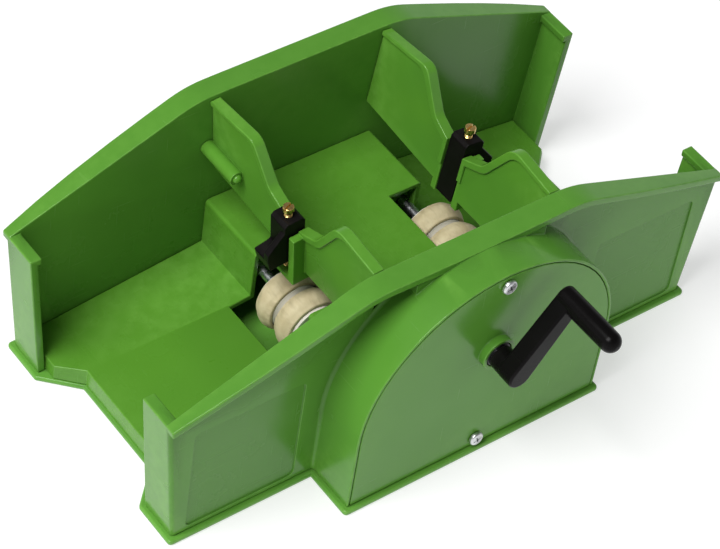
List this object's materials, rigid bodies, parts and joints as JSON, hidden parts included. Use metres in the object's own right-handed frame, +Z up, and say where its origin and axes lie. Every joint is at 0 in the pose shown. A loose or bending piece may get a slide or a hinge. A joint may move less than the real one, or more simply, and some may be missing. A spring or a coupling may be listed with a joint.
{
  "type": "card shuffler",
  "caption": "Hand-cranked playing card shuffler with a green open-topped case, two sloping outer trays, dividers with adjustable black gates, and a black crank on a D-shaped gear housing.",
  "frame": {"origin": "on the underside of the base plate, midway between the two ends and midway between the two long walls", "axes": "+X along the trays, +Y from the crank side to the rear wall, +Z up from the surface it stands on"},
  "size_m": [0.2352, 0.163, 0.0914],
  "materials": {
    "shell": "gloss",
    "deck": "satin gloss",
    "divider": "gloss",
    "crank_handle": "gloss",
    "gate": "satin",
    "adjuster": "turned",
    "tyre": "matt",
    "gear": "moulded",
    "bush": "moulded",
    "screw": "zinc plated",
    "shaft": "ground"
  },
  "bodies": {
    "body": {"base_plate": "shell", "base_screw_front_left": "screw", "base_screw_front_right": "screw", "base_screw_rear_left": "screw", "base_screw_rear_right": "screw", "card_deck": "deck", "cover_screw_lower": "screw", "cover_screw_upper": "screw", "crank_bush": "bush", "gear_cover": "shell", "idler_pin": "shaft", "left_divider": "divider", "left_divider_screw": "screw", "left_front_bush": "bush", "main_body": "shell", "right_divider": "divider", "right_divider_screw": "screw", "right_front_bush": "bush"},
    "crank": {"crank_handle": "crank_handle", "crank_shaft": "shaft", "crank_gear": "gear"},
    "left_roller": {"left_roller_shaft": "shaft", "left_roller_core": "gear", "left_front_tyre": "tyre", "left_rear_tyre": "tyre", "left_pinion": "gear"},
    "right_roller": {"right_roller_shaft": "shaft", "right_roller_core": "gear", "right_front_tyre": "tyre", "right_rear_tyre": "tyre", "right_pinion": "gear"},
    "idler": {"idler_gear": "gear"},
    "left_gate": {"left_gate": "gate"},
    "right_gate": {"right_gate": "gate"},
    "left_gate_screw": {"left_gate_screw": "adjuster"},
    "right_gate_screw": {"right_gate_screw": "adjuster"}
  },
  "joints": [
    {"name": "crank_spin", "type": "hinge", "parent": "body", "child": "crank", "pos_m": [0, 0, 0.0525], "axis": [0, 1, 0], "continuous": true},
    {"name": "left_roller_spin", "type": "hinge", "parent": "body", "child": "left_roller", "pos_m": [-0.032, 0, 0.028], "axis": [0, 1, 0], "continuous": true},
    {"name": "right_roller_spin", "type": "hinge", "parent": "body", "child": "right_roller", "pos_m": [0.032, 0, 0.028], "axis": [0, 1, 0], "continuous": true},
    {"name": "idler_spin", "type": "hinge", "parent": "body", "child": "idler", "pos_m": [0.01098, 0, 0.01992], "axis": [0, 1, 0], "continuous": true},
    {"name": "left_gate_screw_turn", "type": "hinge", "parent": "body", "child": "left_gate_screw", "pos_m": [-0.03599, -0.0007, 0.0497], "axis": [-0.0993, 0, 0.9951], "range_deg": [-4680, 720]},
    {"name": "left_gate_lift", "type": "slide", "parent": "body", "child": "left_gate", "axis": [-0.0993, 0, 0.9951], "range_m": [-0.0065, 0.001]},
    {"name": "right_gate_screw_turn", "type": "hinge", "parent": "body", "child": "right_gate_screw", "pos_m": [0.03599, -0.0007, 0.0497], "axis": [0.0993, 0, 0.9951], "range_deg": [-4680, 720]},
    {"name": "right_gate_lift", "type": "slide", "parent": "body", "child": "right_gate", "axis": [0.0993, 0, 0.9951], "range_m": [-0.0065, 0.001]}
  ],
  "couplings": [
    {"joint": "left_roller_spin", "follows": "crank_spin", "ratio": -1.8333},
    {"joint": "right_roller_spin", "follows": "crank_spin", "ratio": 1.8333},
    {"joint": "idler_spin", "follows": "crank_spin", "ratio": -3.1429},
    {"joint": "left_gate_screw_turn", "follows": "left_gate_lift", "rad_per_m": 12566},
    {"joint": "right_gate_screw_turn", "follows": "right_gate_lift", "rad_per_m": 12566}
  ]
}
